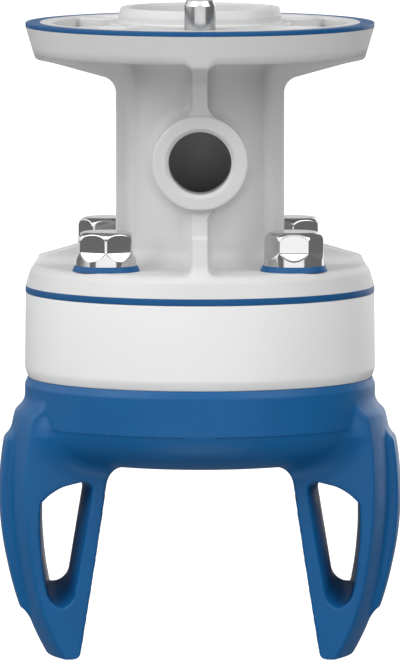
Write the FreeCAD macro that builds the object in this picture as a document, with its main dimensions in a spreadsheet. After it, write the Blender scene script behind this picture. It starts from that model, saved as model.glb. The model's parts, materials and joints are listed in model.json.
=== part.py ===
import FreeCAD, Part
import math
import os

import Sketcher
from FreeCAD import Placement, Rotation, Vector

# Pneumatic two-finger soft gripper on a robot flange adapter.
# Frame: origin at the centre of the robot flange's mating face, +Z up into the robot,
# X along the fingers' opening direction, -Y towards the air port.

# Driving dimensions, in millimetres; "grip_angle" is in degrees.
DIMENSIONS = {
    # robot interface
    "flange_pitch_radius": 25.0,
    "flange_screw_clearance": 3.3,
    "screw_pad_radius": 5.4,
    "centring_radius": 15.75,
    "centring_height": 2.9,
    "centring_lead": 1.6,
    "centring_lead_width": 0.4,
    "centring_recess_radius": 13.8,
    "centring_recess_floor": 4.0,
    "pin_radius": 3.0,
    "pin_shank_radius": 2.5,
    "pin_height": 5.7,
    "pin_seat": 4.0,
    "pin_seat_lead": 0.6,
    "pin_lead": 1.3,
    "pin_lead_width": 0.43,
    # adapter flange
    "flange_radius": 33.6,
    "flange_seal_radius": 33.7,
    "flange_seal_inner_radius": 30.9,
    "flange_seal_height": 0.85,
    "flange_foot_radius": 32.5,
    "flange_thickness": 6.9,
    "flange_corner": 1.1,
    "pocket_outer_radius": 28.6,
    "pocket_inner_radius": 17.6,
    "pocket_depth": 4.5,
    "pin_land_width": 23.2,
    # column
    "column_radius": 12.7,
    "column_fillet": 4.0,
    "cavity_radius": 9.75,
    "cavity_roof": 9.0,
    "plenum_radius": 15.0,
    "plenum_height": 2.4,
    "rib_thickness": 3.05,
    "rib_radius": 16.33,
    "rib_root": 10.6,
    "gusset_radius": 32.0,
    "gusset_rim_depth": 6.3,
    "gusset_knee_radius": 19.2,
    "gusset_knee_depth": 10.4,
    "gusset_fillet": 3.6,
    "gusset_fillet_depth": 13.5,
    "lower_gusset_top": 40.8,
    "lower_gusset_radius": 31.2,
    "lower_gusset_foot": 45.1,
    # air port
    "port_depth_below_face": 26.2,
    "port_boss_radius": 9.15,
    "port_reach": 17.3,
    "port_radius": 5.9,
    "port_chamfer": 0.7,
    # bolting disc
    "disc_floor": 46.7,
    "disc_edge_radius": 31.8,
    "disc_corner": 0.6,
    "disc_bottom_radius": 33.65,
    "disc_bottom": 50.85,
    "bolt_offset": 18.0,
    "bolt_clearance": 3.5,
    # hexagon bolts and their seals
    "bolt_shank_radius": 2.95,
    "bolt_across_flats": 10.0,
    "bolt_collar_radius": 5.8,
    "bolt_seal_height": 1.1,
    "bolt_collar_height": 1.45,
    "bolt_hex_height": 5.25,
    "bolt_hex_relief": 1.3,
    "bolt_crown_drop": 1.5,
    "bolt_crown_radius": 1.35,
    "bolt_tip": 57.6,
    "bolt_tip_lead": 0.8,
    "bolt_seal_foot_radius": 6.55,
    "bolt_seal_bore": 3.5,
    # housing seal and clamp ring
    "housing_seal_radius": 33.73,
    "housing_seal_inner_radius": 29.8,
    "housing_seal_height": 1.15,
    "ring_radius": 33.7,
    "ring_foot_radius": 33.87,
    "ring_seam_radius": 33.2,
    "ring_seam": 68.6,
    "ring_corner": 1.8,
    "ring_bore": 20.6,
    "ring_shoulder_bore": 18.4,
    "ring_shoulder_top": 58.0,
    "ring_land": 61.0,
    "ring_groove_radius": 30.4,
    "ring_groove_bottom": 64.6,
    "ring_lip_radius": 27.4,
    "insert_radius": 3.9,
    "insert_bore": 3.0,
    "insert_length": 8.2,
    # parts inside the chamber
    "plate_radius": 20.5,
    "plate_thickness": 3.0,
    "plate_hole_radius": 2.5,
    "plate_hole_circle": 12.0,
    "stop_post_radius": 4.0,
    "stop_post_end": 75.8,
    "clip_thickness": 1.1,
    "clip_inner_radius": 18.7,
    "band_inner_radius": 19.4,
    "band_end": 70.0,
    "pull_plate_radius": 12.5,
    "pull_plate_thickness": 1.6,
    # silicone
    "collar_neck_radius": 21.0,
    "collar_bead_radius": 30.3,
    "collar_neck_outer_radius": 27.3,
    "collar_chamber_radius": 29.5,
    "collar_chamber_roof": 71.0,
    "collar_radius": 33.72,
    "collar_lead": 1.3,
    "collar_bottom": 77.3,
    "fit_gap": 0.05,
    "bowl_edge_radius": 33.4,
    "bowl_bottom": 84.7,
    "bowl_side_radius": 32.8,
    "bowl_side_depth": 80.2,
    "bowl_shoulder_radius": 30.4,
    "bowl_shoulder_depth": 82.7,
    "bowl_floor_radius": 26.5,
    "bowl_floor_depth": 84.1,
    "bowl_flat_radius": 14.0,
    "bowl_thickness": 2.0,
    "flex_gap": 0.3,
    # finger roots on the collar
    "root_top": 73.0,
    "root_step_radius": 35.5,
    "root_step": 74.8,
    "root_foot_radius": 36.2,
    "root_bottom": 77.9,
    # fingers
    "finger_half_width": 16.3,
    "finger_tip_half_width": 14.2,
    "finger_taper_start": 96.0,
    "finger_inner_reach": 10.0,
    "finger_top": 78.5,
    "finger_root_radius": 36.3,
    "finger_waist_radius": 35.65,
    "finger_waist": 104.8,
    "finger_back_curve": 80.0,
    "finger_foot_curve": 42.0,
    "finger_foot_radius": 30.0,
    "finger_foot": 121.2,
    "finger_end": 122.0,
    "finger_end_radius": 29.0,
    "spine_half_width": 7.5,
    "spine_top": 78.8,
    "spine_top_radius": 36.6,
    "spine_crest_radius": 37.7,
    "spine_crest": 80.2,
    "spine_knee_radius": 37.2,
    "spine_knee": 104.4,
    "spine_curve": 61.0,
    "spine_heel_radius": 34.8,
    "spine_heel": 112.8,
    "spine_heel_curve": 22.4,
    "spine_end_radius": 33.2,
    "spine_end": 114.5,
    "grip_start_reach": 18.05,
    "grip_start": 88.0,
    "grip_angle": 8.5,
    "grip_curve": 59.0,
    "grip_wall": 2.1,
    "window_wall_reach": 30.3,
    "window_wall_top": 92.0,
    "window_roof_reach": 27.6,
    "window_roof": 88.9,
    "window_corner_reach": 22.8,
    "window_corner": 87.4,
    "window_leg_reach": 19.9,
    "window_leg_top": 90.4,
    "window_roof_round": 3.4,
    "window_leg_foot_reach": 22.8,
    "window_leg_foot": 109.3,
    "window_wall_foot_reach": 29.1,
    "window_wall_foot": 109.3,
    "window_wall_curve": 62.0,
    "window_foot_curve": 3.3,
    "window_crest_rise": 3.9,
    "window_crest_shift": 1.6,
}

OVERSIZE = 1.5
FRONT_FACING_CORNER = 0.0
FRONT_FACING_FLAT = 30.0


class Size:
    """A driving dimension, or a sum made of them, with the sheet formula that gives it."""

    def __init__(self, number, formula):
        self.number = float(number)
        self.formula = formula

    def join(self, other, sign, number):
        text = other.formula if isinstance(other, Size) else repr(other)
        return Size(number, "(" + self.formula + " " + sign + " " + text + ")")

    def __add__(self, other):
        return self.join(other, "+", self.number + plain(other))

    def __sub__(self, other):
        return self.join(other, "-", self.number - plain(other))

    def __mul__(self, other):
        return self.join(other, "*", self.number * plain(other))

    def __truediv__(self, other):
        return self.join(other, "/", self.number / plain(other))

    def __neg__(self):
        return Size(-self.number, "(0 - " + self.formula + ")")


def plain(value):
    return value.number if isinstance(value, Size) else float(value)


def size(alias):
    return Size(DIMENSIONS[alias], "Dimensions." + alias)


def below(alias):
    """A height given as a distance below the mating face."""
    return -size(alias)


def make_sheet(document):
    sheet = document.addObject("Spreadsheet::Sheet", "Dimensions")
    for row, (alias, number) in enumerate(DIMENSIONS.items(), start=1):
        sheet.set("A%d" % row, alias)
        sheet.set("B%d" % row, str(number))
        sheet.setAlias("B%d" % row, alias)
    document.recompute()
    return sheet


def bind(thing, **sizes):
    """Tie properties of a document object to the sheet."""
    for name, value in sizes.items():
        thing.setExpression(name, value.formula)


# ---------------------------------------------------------------- sketches

def new_sketch(body, name, role):
    """An empty sketch on one of the body's own origin planes."""
    sketch = body.newObject("Sketcher::SketchObject", name)
    planes = [plane for plane in body.Origin.OriginFeatures if plane.Role == role]
    sketch.AttachmentSupport = [(planes[0], "")]
    sketch.MapMode = "FlatFace"
    return sketch


def loose_sketch(document, name, offset=None):
    """A sketch standing in the XZ plane, moved along Y by an offset."""
    sketch = document.addObject("Sketcher::SketchObject", name)
    along = plain(offset) if offset is not None else 0.0
    sketch.Placement = Placement(Vector(0, along, 0), Rotation(Vector(1, 0, 0), 90))
    if offset is not None:
        sketch.setExpression("Placement.Base.y", offset.formula)
    return sketch


def pin_point(sketch, edge, end, across, up):
    """Hold one end of an edge at its sheet position."""
    for kind, axis, value in (("DistanceX", -2, across), ("DistanceY", -1, up)):
        if plain(value) == 0.0:
            sketch.addConstraint(Sketcher.Constraint("PointOnObject", edge, end, axis))
            continue
        index = sketch.addConstraint(Sketcher.Constraint(kind, -1, 1, edge, end, plain(value)))
        if isinstance(value, Size):
            sketch.setExpression("Constraints[%d]" % index, value.formula)


def arc_between(start, finish, radius):
    """The short arc from start to finish; a positive radius keeps its centre on the left."""
    run = finish - start
    left = Vector(-run.y, run.x, 0).normalize()
    offset = math.sqrt(radius * radius - run.Length * run.Length / 4)
    centre = (start + finish) / 2 + left * math.copysign(offset, radius)
    circle = Part.Circle(centre, Vector(0, 0, 1), abs(radius))
    angles = [math.atan2(p.y - centre.y, p.x - centre.x) for p in (start, finish)]
    if radius < 0:
        angles.reverse()
    return Part.ArcOfCircle(circle, angles[0], angles[1])


def outline(sketch, corners):
    """Draw a closed loop. A corner is (across, up), or (across, up, radius) where the edge
    that arrives at it is an arc; a negative radius bends the other way."""
    points = [Vector(plain(corner[0]), plain(corner[1]), 0) for corner in corners]
    edges = []
    for number, corner in enumerate(corners):
        start = points[number - 1]
        finish = points[number]
        if len(corner) == 2:
            index = sketch.addGeometry(Part.LineSegment(start, finish), False)
            edges.append((index, 1, 2))
            continue
        radius = plain(corner[2])
        index = sketch.addGeometry(arc_between(start, finish, radius), False)
        edges.append((index, 1, 2) if radius > 0 else (index, 2, 1))
        hold = sketch.addConstraint(Sketcher.Constraint("Radius", index, abs(radius)))
        formula = corner[2].formula if radius > 0 else (-corner[2]).formula
        sketch.setExpression("Constraints[%d]" % hold, formula)
    for number, (index, first, last) in enumerate(edges):
        next_index, next_first, _ = edges[(number + 1) % len(edges)]
        sketch.addConstraint(Sketcher.Constraint("Coincident", index, last, next_index, next_first))
        pin_point(sketch, index, last, corners[number][0], corners[number][1])
    return sketch


def circle(sketch, across, up, radius):
    centre = Vector(plain(across), plain(up), 0)
    index = sketch.addGeometry(Part.Circle(centre, Vector(0, 0, 1), plain(radius)), False)
    pin_point(sketch, index, 3, across, up)
    hold = sketch.addConstraint(Sketcher.Constraint("Radius", index, plain(radius)))
    sketch.setExpression("Constraints[%d]" % hold, radius.formula)


def rectangle(sketch, left, right, low, high):
    outline(sketch, [(left, low), (right, low), (right, high), (left, high)])


# ---------------------------------------------------------------- features

def new_body(document, label):
    body = document.addObject("PartDesign::Body", label)
    body.Label = label
    return body


def revolve(body, name, corners, kind="PartDesign::Revolution"):
    """Turn an outline drawn as (radius, height) once round the Z axis."""
    sketch = outline(new_sketch(body, name + "_outline", "XZ_Plane"), corners)
    feature = body.newObject(kind, name)
    feature.Profile = sketch
    feature.ReferenceAxis = (sketch, ["V_Axis"])
    feature.Angle = 360.0
    return feature


def pad(body, name, sketch, length, midplane=False, reverse=False):
    feature = body.newObject("PartDesign::Pad", name)
    feature.Profile = sketch
    feature.Midplane = midplane
    feature.Reversed = reverse
    bind(feature, Length=length)
    return feature


def pocket(body, name, sketch, length, midplane=False, reverse=False):
    """Cut a sketch into the body and make sure that it took something away."""
    document = body.Document
    document.recompute()
    before = body.Shape.Volume
    feature = body.newObject("PartDesign::Pocket", name)
    feature.Profile = sketch
    feature.Midplane = midplane
    feature.Reversed = reverse
    bind(feature, Length=length)
    document.recompute()
    if body.Shape.Volume >= before:
        raise RuntimeError(name + " cuts nothing")
    return feature


def around(body, name, feature, count):
    """Repeat a feature evenly round the Z axis."""
    pattern = body.newObject("PartDesign::PolarPattern", name)
    pattern.Originals = [feature]
    axes = [axis for axis in body.Origin.OriginFeatures if axis.Role == "Z_Axis"]
    pattern.Axis = (axes[0], [""])
    pattern.Angle = 360.0
    pattern.Occurrences = count
    body.Tip = pattern
    return pattern


def turned(document, label, corners):
    """A piece of one revolved outline."""
    body = new_body(document, label)
    revolve(body, label + "_turned", corners)
    return body


def break_edges(body, name, kind, sizes, wanted):
    """Chamfer or fillet every edge of the body so far that passes the test."""
    body.Document.recompute()
    base = body.Tip
    names = ["Edge%d" % number for number, edge in enumerate(base.Shape.Edges, start=1) if wanted(edge)]
    if not names:
        raise RuntimeError(name + " finds no edge")
    feature = body.newObject(kind, name)
    feature.Base = (base, names)
    bind(feature, **sizes)
    return feature


# ---------------------------------------------------------------- adapter housing

def adapter_profile():
    """Flange, column core and bolting disc as one turned outline."""
    fillet = size("column_fillet")
    column = size("column_radius")
    floor = below("disc_floor")
    under = below("flange_thickness")
    return [
        (0.0, below("centring_recess_floor")),
        (size("centring_recess_radius"), below("centring_recess_floor")),
        (size("centring_recess_radius"), size("centring_height")),
        (size("centring_radius") - size("centring_lead_width"), size("centring_height")),
        (size("centring_radius"), size("centring_height") - size("centring_lead")),
        (size("centring_radius"), 0.0),
        (size("pocket_inner_radius"), 0.0),
        (size("pocket_inner_radius"), below("pocket_depth")),
        (size("pocket_outer_radius"), below("pocket_depth")),
        (size("pocket_outer_radius"), -size("flange_seal_height") / 2),
        (size("pocket_outer_radius") + size("flange_seal_height") / 2, 0.0),
        (size("flange_radius"), 0.0),
        (size("flange_foot_radius"), under + size("flange_corner")),
        (size("flange_foot_radius") - size("flange_corner"), under, -size("flange_corner")),
        (column + fillet, under),
        (column, under - fillet, fillet),
        (column, floor + fillet),
        (column + fillet, floor, fillet),
        (size("disc_edge_radius"), floor),
        (size("disc_edge_radius") + size("disc_corner"), floor - size("disc_corner"), -size("disc_corner")),
        (size("disc_bottom_radius"), below("disc_bottom")),
        (0.0, below("disc_bottom")),
    ]


def rib_profile():
    """One column rib with its upper and lower gussets, seen from the side."""
    return [
        (size("rib_root"), below("pocket_depth") - 1.0),
        (size("gusset_radius"), below("pocket_depth") - 1.0),
        (size("gusset_radius"), below("gusset_rim_depth")),
        (size("gusset_knee_radius"), below("gusset_knee_depth")),
        (size("rib_radius"), below("gusset_fillet_depth"), size("gusset_fillet")),
        (size("rib_radius"), below("lower_gusset_top")),
        (size("lower_gusset_radius"), below("lower_gusset_foot")),
        (size("lower_gusset_radius"), below("disc_floor") - 1.0),
        (size("rib_root"), below("disc_floor") - 1.0),
    ]


def make_adapter(document):
    body = new_body(document, "adapter_housing")
    revolve(body, "flange_column_disc", adapter_profile())

    offset = size("flange_pitch_radius") * math.sqrt(0.5)
    pads = new_sketch(body, "screw_pad_circles", "XY_Plane")
    for side in (1, -1):
        for front in (1, -1):
            circle(pads, offset * side, offset * front, size("screw_pad_radius"))
    pad(body, "screw_pads", pads, size("pocket_depth") + 0.5, reverse=True)

    lands = new_sketch(body, "pin_land_outlines", "XY_Plane")
    half = size("pin_land_width") / 2
    near = size("centring_radius") + 0.5
    far = size("pocket_outer_radius") + 0.5
    rectangle(lands, -half, half, near, far)
    rectangle(lands, -half, half, -far, -near)
    pad(body, "pin_lands", lands, size("pocket_depth") + 0.5, reverse=True)
    revolve(body, "flange_seal_step", [
        (size("flange_seal_inner_radius"), below("flange_seal_height")),
        (size("flange_radius") + OVERSIZE, below("flange_seal_height")),
        (size("flange_radius") + OVERSIZE, OVERSIZE),
        (size("flange_seal_inner_radius"), OVERSIZE),
    ], kind="PartDesign::Groove")

    rib_sketch = outline(new_sketch(body, "rib_outline", "XZ_Plane"), rib_profile())
    rib = pad(body, "rib", rib_sketch, size("rib_thickness"), midplane=True)
    around(body, "ribs", rib, 4)

    boss = new_sketch(body, "port_boss_circle", "XZ_Plane")
    circle(boss, 0.0, below("port_depth_below_face"), size("port_boss_radius"))
    pad(body, "port_boss", boss, size("port_reach"))

    revolve(body, "air_cavity", [
        (0.0, below("cavity_roof")),
        (size("cavity_radius"), below("cavity_roof")),
        (size("cavity_radius"), below("disc_bottom") + size("plenum_height")),
        (size("plenum_radius"), below("disc_bottom") + size("plenum_height")),
        (size("plenum_radius"), below("disc_bottom")),
        (0.0, below("disc_bottom")),
    ], kind="PartDesign::Groove")

    bore = new_sketch(body, "port_bore_circle", "XZ_Plane")
    circle(bore, 0.0, below("port_depth_below_face"), size("port_radius"))
    pocket(body, "port_bore", bore, size("port_reach") + 1.0, reverse=True)

    pin_seat = new_sketch(body, "pin_seat_circle", "XY_Plane")
    circle(pin_seat, 0.0, -size("flange_pitch_radius"), size("pin_shank_radius"))
    pocket(body, "pin_seat", pin_seat, size("pin_seat"))

    screws = new_sketch(body, "flange_screw_circles", "XY_Plane")
    for side in (1, -1):
        for front in (1, -1):
            circle(screws, offset * side, offset * front, size("flange_screw_clearance"))
    pocket(body, "flange_screw_holes", screws, size("flange_thickness") * 2.0)

    bolts = new_sketch(body, "bolt_circles", "XY_Plane")
    for side in (1, -1):
        for front in (1, -1):
            circle(bolts, size("bolt_offset") * side, size("bolt_offset") * front, size("bolt_clearance"))
    drill_bolt_holes(body, bolts)

    reach = DIMENSIONS["port_reach"]
    port_radius = DIMENSIONS["port_radius"]
    break_edges(body, "port_chamfer", "PartDesign::Chamfer", {"Size": size("port_chamfer")},
                lambda edge: is_round(edge, port_radius) and abs(edge.Curve.Center.y + reach) < 0.01)
    shank_radius = DIMENSIONS["pin_shank_radius"]
    break_edges(body, "pin_seat_lead", "PartDesign::Chamfer", {"Size": size("pin_seat_lead")},
                lambda edge: is_round(edge, shank_radius) and abs(edge.Curve.Center.z) < 0.01)
    return body


def drill_bolt_holes(body, sketch):
    """Cut the four bolt holes through the disc only, upwards from its bottom face."""
    sketch.AttachmentOffset = Placement(Vector(0, 0, -DIMENSIONS["disc_bottom"]), Rotation())
    sketch.setExpression("AttachmentOffset.Base.z", below("disc_bottom").formula)
    thickness = size("disc_bottom") - size("disc_floor")
    pocket(body, "bolt_holes", sketch, thickness + 1.0, reverse=True)


def is_round(edge, radius):
    return isinstance(edge.Curve, Part.Circle) and abs(edge.Curve.Radius - radius) < 0.01


# ---------------------------------------------------------------- rings, pin and seals

def make_flange_seal(document):
    return turned(document, "flange_seal", [
        (size("flange_seal_inner_radius"), 0.0),
        (size("flange_seal_radius"), 0.0),
        (size("flange_seal_radius"), below("flange_seal_height")),
        (size("flange_seal_inner_radius"), below("flange_seal_height")),
    ])


def make_locating_pin(document):
    """Pin whose thinner shank is pressed into the front land."""
    lead = size("pin_lead_width")
    top = size("pin_height")
    pin = turned(document, "locating_pin", [
        (0.0, below("pin_seat")),
        (size("pin_shank_radius"), below("pin_seat")),
        (size("pin_shank_radius"), 0.0),
        (size("pin_radius"), 0.0),
        (size("pin_radius"), top - size("pin_lead")),
        (size("pin_radius") - lead, top - lead / 4),
        (size("pin_radius") - lead * 2.0, top),
        (0.0, top),
    ])
    pin.Placement = Placement(Vector(0, -DIMENSIONS["flange_pitch_radius"], 0), Rotation())
    pin.setExpression("Placement.Base.y", (-size("flange_pitch_radius")).formula)
    return pin


def make_housing_seal(document):
    top = below("disc_bottom")
    bottom = top - size("housing_seal_height")
    return turned(document, "housing_seal", [
        (size("housing_seal_inner_radius"), top),
        (size("housing_seal_radius"), top),
        (size("housing_seal_radius"), bottom),
        (size("housing_seal_inner_radius"), bottom),
    ])


def make_clamp_ring(document):
    """White ring with a spigot inside the housing seal, bolt inserts and a groove for the bead."""
    top = below("disc_bottom")
    step = top - size("housing_seal_height")
    corner = size("ring_corner")
    seam = below("ring_seam")
    body = new_body(document, "clamp_ring")
    revolve(body, "ring_section", [
        (size("ring_bore"), top),
        (size("housing_seal_inner_radius"), top),
        (size("housing_seal_inner_radius"), step),
        (size("ring_radius"), step),
        (size("ring_foot_radius"), seam + corner),
        (size("ring_seam_radius"), seam, -(corner * 1.6)),
        (size("ring_lip_radius"), seam),
        (size("ring_lip_radius"), below("ring_groove_bottom")),
        (size("ring_groove_radius"), below("ring_groove_bottom")),
        (size("ring_groove_radius"), below("ring_land")),
        (size("ring_shoulder_bore"), below("ring_land")),
        (size("ring_shoulder_bore"), below("ring_shoulder_top")),
        (size("ring_bore"), below("ring_shoulder_top")),
    ])
    sockets = new_sketch(body, "insert_circles", "XY_Plane")
    sockets.AttachmentOffset = Placement(Vector(0, 0, plain(top)), Rotation())
    sockets.setExpression("AttachmentOffset.Base.z", top.formula)
    for side in (1, -1):
        for front in (1, -1):
            circle(sockets, size("bolt_offset") * side, size("bolt_offset") * front, size("insert_radius"))
    pocket(body, "insert_sockets", sockets, size("insert_length"))
    return body


# ---------------------------------------------------------------- bolts

def bolt_places():
    """Name, X sign, Y sign and the way each hexagon is turned once tightened."""
    return [
        ("front_left", -1, -1, FRONT_FACING_CORNER),
        ("front_right", 1, -1, FRONT_FACING_FLAT),
        ("rear_left", -1, 1, FRONT_FACING_FLAT),
        ("rear_right", 1, 1, FRONT_FACING_CORNER),
    ]


def place_at_bolt(piece, side, front, turn=0.0):
    """Move a piece made on the Z axis to one of the bolt positions."""
    offset = DIMENSIONS["bolt_offset"]
    spot = Vector(offset * side, offset * front, 0)
    piece.Placement = Placement(spot, Rotation(Vector(0, 0, 1), turn))
    piece.setExpression("Placement.Base.x", (size("bolt_offset") * side).formula)
    piece.setExpression("Placement.Base.y", (size("bolt_offset") * front).formula)


def make_hex_bolt(document, name, side, front, turn):
    """Round head with six flats that run out in arcs, on a plain shank."""
    label = "bolt_" + name
    collar = size("bolt_collar_radius")
    flat = size("bolt_across_flats") / 2
    seat = below("disc_floor") + size("bolt_seal_height")
    hex_foot = seat + size("bolt_collar_height")
    top = hex_foot + size("bolt_hex_height")
    relief = size("bolt_hex_relief")
    crown = size("bolt_crown_drop")
    crown_round = size("bolt_crown_radius")

    body = new_body(document, label)
    revolve(body, label + "_collar_and_shank", [
        (0.0, below("bolt_tip")),
        (size("bolt_shank_radius") - size("bolt_tip_lead") / 2, below("bolt_tip")),
        (size("bolt_shank_radius"), below("bolt_tip") + size("bolt_tip_lead")),
        (size("bolt_shank_radius"), seat),
        (collar, seat),
        (collar, hex_foot + relief),
        (flat, hex_foot),
        (0.0, hex_foot),
    ])
    hexagon = new_sketch(body, label + "_hexagon", "XY_Plane")
    hexagon.AttachmentOffset = Placement(Vector(0, 0, plain(seat)), Rotation())
    hexagon.setExpression("AttachmentOffset.Base.z", seat.formula)
    reach = flat * (2 / math.sqrt(3))
    corners = []
    for number in range(6):
        angle = math.radians(60 * number + 90)
        corners.append((reach * math.cos(angle), reach * math.sin(angle)))
    corners = [(snap(across), snap(up)) for across, up in corners]
    outline(hexagon, corners)
    pad(body, label + "_hexagon_pad", hexagon, size("bolt_collar_height") + size("bolt_hex_height"))
    revolve(body, label + "_crown", [
        (collar + OVERSIZE, top - crown),
        (collar + OVERSIZE, top + OVERSIZE),
        (0.0, top + OVERSIZE),
        (0.0, top),
        (collar - crown_round, top),
        (collar, top - crown_round, crown_round * -1.0),
        (collar, top - crown),
    ], kind="PartDesign::Groove")
    place_at_bolt(body, side, front, turn)
    return body


def snap(value):
    """Exactly zero where a corner lies on an axis."""
    return 0.0 if abs(plain(value)) < 1e-9 else value


def make_bolt_seal(document, name, side, front):
    floor = below("disc_floor")
    top = floor + size("bolt_seal_height")
    body = turned(document, "bolt_seal_" + name, [
        (size("bolt_seal_bore"), floor),
        (size("bolt_seal_foot_radius"), floor),
        (size("bolt_collar_radius") + 0.1, top),
        (size("bolt_seal_bore"), top),
    ])
    place_at_bolt(body, side, front)
    return body


def make_threaded_insert(document, name, side, front):
    top = below("disc_bottom")
    bottom = top - size("insert_length")
    body = turned(document, "threaded_insert_" + name, [
        (size("insert_bore"), bottom),
        (size("insert_radius"), bottom),
        (size("insert_radius"), top),
        (size("insert_bore"), top),
    ])
    place_at_bolt(body, side, front)
    return body


# ---------------------------------------------------------------- parts in the chamber

def make_stop_plate(document):
    """Disc with six air holes and a post that ends the stroke of the bowl floor."""
    bottom = below("ring_shoulder_top")
    top = bottom + size("plate_thickness")
    body = new_body(document, "stop_plate")
    revolve(body, "plate_and_post", [
        (0.0, below("stop_post_end")),
        (size("stop_post_radius"), below("stop_post_end")),
        (size("stop_post_radius"), bottom),
        (size("plate_radius"), bottom),
        (size("plate_radius"), top),
        (0.0, top),
    ])
    hole = new_sketch(body, "air_hole_circle", "XY_Plane")
    hole.AttachmentOffset = Placement(Vector(0, 0, plain(top)), Rotation())
    hole.setExpression("AttachmentOffset.Base.z", top.formula)
    circle(hole, size("plate_hole_circle"), 0.0, size("plate_hole_radius"))
    around(body, "air_holes", pocket(body, "air_hole", hole, size("plate_thickness")), 6)
    return body


def make_retaining_clip(document):
    bottom = below("ring_shoulder_top") + size("plate_thickness")
    top = bottom + size("clip_thickness")
    body = turned(document, "retaining_clip", [
        (size("clip_inner_radius"), bottom),
        (size("plate_radius"), bottom),
        (size("plate_radius"), top),
        (size("clip_inner_radius"), top),
    ])
    mouth = new_sketch(body, "clip_mouth", "XY_Plane")
    mouth.AttachmentOffset = Placement(Vector(0, 0, plain(top)), Rotation())
    mouth.setExpression("AttachmentOffset.Base.z", top.formula)
    half = size("clip_thickness") * 2.0
    rectangle(mouth, -half, half, size("cavity_radius"), size("plate_radius") + OVERSIZE)
    pocket(body, "clip_gap", mouth, size("clip_thickness"))
    return body


def make_support_band(document):
    top = below("ring_land")
    bottom = below("band_end")
    outer = size("collar_neck_radius") - size("fit_gap")
    return turned(document, "support_band", [
        (size("band_inner_radius"), bottom),
        (outer, bottom),
        (outer, top),
        (size("band_inner_radius"), top),
    ])


def make_pull_plate(document):
    bottom = -size("bowl_bottom") + size("bowl_thickness")
    top = bottom + size("pull_plate_thickness")
    return turned(document, "pull_plate", [
        (0.0, bottom),
        (size("pull_plate_radius"), bottom),
        (size("pull_plate_radius"), top),
        (0.0, top),
    ])


# ---------------------------------------------------------------- silicone

def make_silicone_collar(document):
    """The module's fixed part: bead, neck, outer wall and the two finger roots on it."""
    gap = size("fit_gap")
    seam = below("ring_seam")
    body = new_body(document, "silicone_collar")
    revolve(body, "collar_section", [
        (size("collar_neck_radius"), below("ring_land") - gap),
        (size("collar_bead_radius"), below("ring_land") - gap),
        (size("collar_bead_radius"), below("ring_groove_bottom") + gap),
        (size("collar_neck_outer_radius"), below("ring_groove_bottom") + gap),
        (size("collar_neck_outer_radius"), seam),
        (size("ring_seam_radius"), seam),
        (size("collar_radius"), seam - size("collar_lead")),
        (size("collar_radius"), below("collar_bottom")),
        (size("collar_chamber_radius"), below("collar_bottom")),
        (size("collar_chamber_radius"), below("collar_chamber_roof")),
        (size("collar_neck_radius"), below("collar_chamber_roof")),
    ])
    document.recompute()
    roots = loose_sketch(document, "finger_root_outline")
    outline(roots, [
        (size("collar_radius") - 0.5, below("root_top")),
        (size("root_step_radius"), below("root_step")),
        (size("root_foot_radius"), below("root_bottom")),
        (size("collar_radius") - 0.5, below("root_bottom")),
    ])
    root_ring = turn_sketch(document, "finger_root_ring", roots)
    bar = block(document, "finger_root_bar", size("root_foot_radius") + 1.0, size("finger_half_width"),
                below("root_bottom") - 1.0, below("root_top") + 1.0, both_sides=True)
    root_pair = join(document, "Part::Common", "finger_roots", root_ring, bar)
    return join(document, "Part::Fuse", "silicone_collar_piece", body, root_pair, "silicone_collar")


def bowl_line(inset):
    """Corners of the bowl from its rim to the axis, moved inwards by a distance."""
    return [
        (size("bowl_edge_radius") - inset, below("collar_bottom") - size("fit_gap")),
        (size("bowl_side_radius") - inset, below("bowl_side_depth") + inset),
        (size("bowl_shoulder_radius") - inset, below("bowl_shoulder_depth") + inset),
        (size("bowl_floor_radius") - inset, below("bowl_floor_depth") + inset),
        (size("bowl_flat_radius"), below("bowl_bottom") + inset),
        (0.0, below("bowl_bottom") + inset),
    ]


def make_bowl_membrane(document):
    """Thin floor that closes the chamber and lifts between the fingers."""
    outside = bowl_line(0.0)
    inside = bowl_line(size("bowl_thickness"))
    inside.reverse()
    return turned(document, "bowl_membrane", outside + inside)


def turn_sketch(document, name, sketch):
    """A solid of revolution about Z from a sketch that stands in the XZ plane."""
    turned_part = document.addObject("Part::Revolution", name)
    turned_part.Source = sketch
    turned_part.Axis = Vector(0, 0, 1)
    turned_part.Base = Vector(0, 0, 0)
    turned_part.Angle = 360.0
    turned_part.Solid = True
    return turned_part


def block(document, name, reach, half_width, low, high, both_sides=False):
    """A box about the XZ plane that starts on the YZ plane, or crosses it."""
    box = document.addObject("Part::Box", name)
    length = reach * 2.0 if both_sides else reach
    bind(box, Length=length, Width=half_width * 2.0, Height=high - low)
    if both_sides:
        box.setExpression("Placement.Base.x", (-reach).formula)
    box.setExpression("Placement.Base.y", (-half_width).formula)
    box.setExpression("Placement.Base.z", low.formula)
    return box


def join(document, kind, name, base, tool, label=None):
    """Part::Fuse, Part::Cut or Part::Common of two objects."""
    result = document.addObject(kind, name)
    result.Base = base
    result.Tool = tool
    if label:
        base.Label = label + "_base"
        result.Label = label
    return result


def extrude(document, name, sketch, half_width):
    """A sketch in the XZ plane made solid on both sides of it."""
    solid = document.addObject("Part::Extrusion", name)
    solid.Base = sketch
    solid.DirMode = "Custom"
    solid.Dir = Vector(0, -1, 0)
    solid.Solid = True
    bind(solid, LengthFwd=half_width, LengthRev=half_width)
    return solid


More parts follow.
